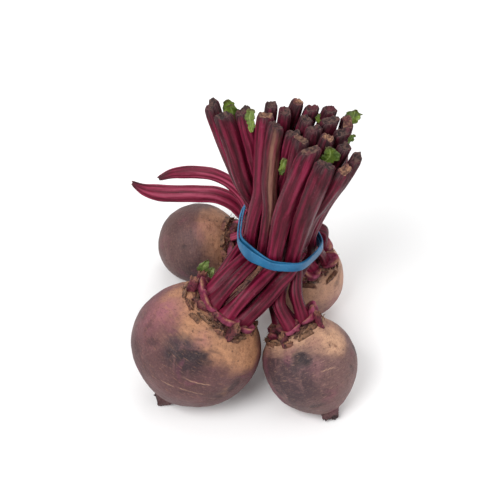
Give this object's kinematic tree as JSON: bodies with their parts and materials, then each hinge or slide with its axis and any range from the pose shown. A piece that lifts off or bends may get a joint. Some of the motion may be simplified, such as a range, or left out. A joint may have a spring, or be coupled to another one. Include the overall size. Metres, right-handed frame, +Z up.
{
  "type": "bunch of beetroot",
  "caption": "Bunch of round beetroots with trimmed leaf stems, tied at the waist by a doubled flat rubber band, standing on its roots.",
  "frame": {"origin": "middle of the bunch's plan at the surface it stands on", "axes": "+Z up along the stems, -Y towards the side of the largest root, +X to its right"},
  "size_m": [0.1401, 0.1609, 0.1886],
  "materials": {
    "beet_skin": "dusky mauve-brown root skin, corky tan near the crown",
    "stem_skin": "crimson ribbed leaf stem, satin, dried and dark at the cut end",
    "green_blade": "green torn leaf blade, satin",
    "band_rubber": "blue flat rubber band, smooth"
  },
  "bodies": {
    "root": {"beet_large": "beet_skin", "beet_right": "beet_skin", "beet_back_left": "beet_skin", "beet_back_right": "beet_skin", "loose_stem_upper": "stem_skin", "loose_stem_lower": "stem_skin", "stem_01": "stem_skin", "stem_02": "stem_skin", "stem_03": "stem_skin", "stem_04": "stem_skin", "stem_05": "stem_skin", "stem_06": "stem_skin", "stem_07": "stem_skin", "stem_08": "stem_skin", "stem_09": "stem_skin", "stem_10": "stem_skin", "stem_11": "stem_skin", "stem_12": "stem_skin", "stem_13": "stem_skin", "stem_14": "stem_skin", "stem_15": "stem_skin", "stem_16": "stem_skin", "stem_17": "stem_skin", "stem_18": "stem_skin", "stem_19": "stem_skin", "stem_20": "stem_skin", "stem_21": "stem_skin", "stem_22": "stem_skin", "stem_23": "stem_skin", "leaf_sprout_01": "green_blade", "leaf_sprout_02": "green_blade", "leaf_scrap_01": "green_blade", "leaf_scrap_02": "green_blade", "leaf_scrap_03": "green_blade", "leaf_scrap_04": "green_blade", "leaf_scrap_05": "green_blade", "leaf_scrap_06": "green_blade", "leaf_scrap_07": "green_blade", "leaf_scrap_08": "green_blade", "rubber_band": "band_rubber"}
  },
  "joints": []
}
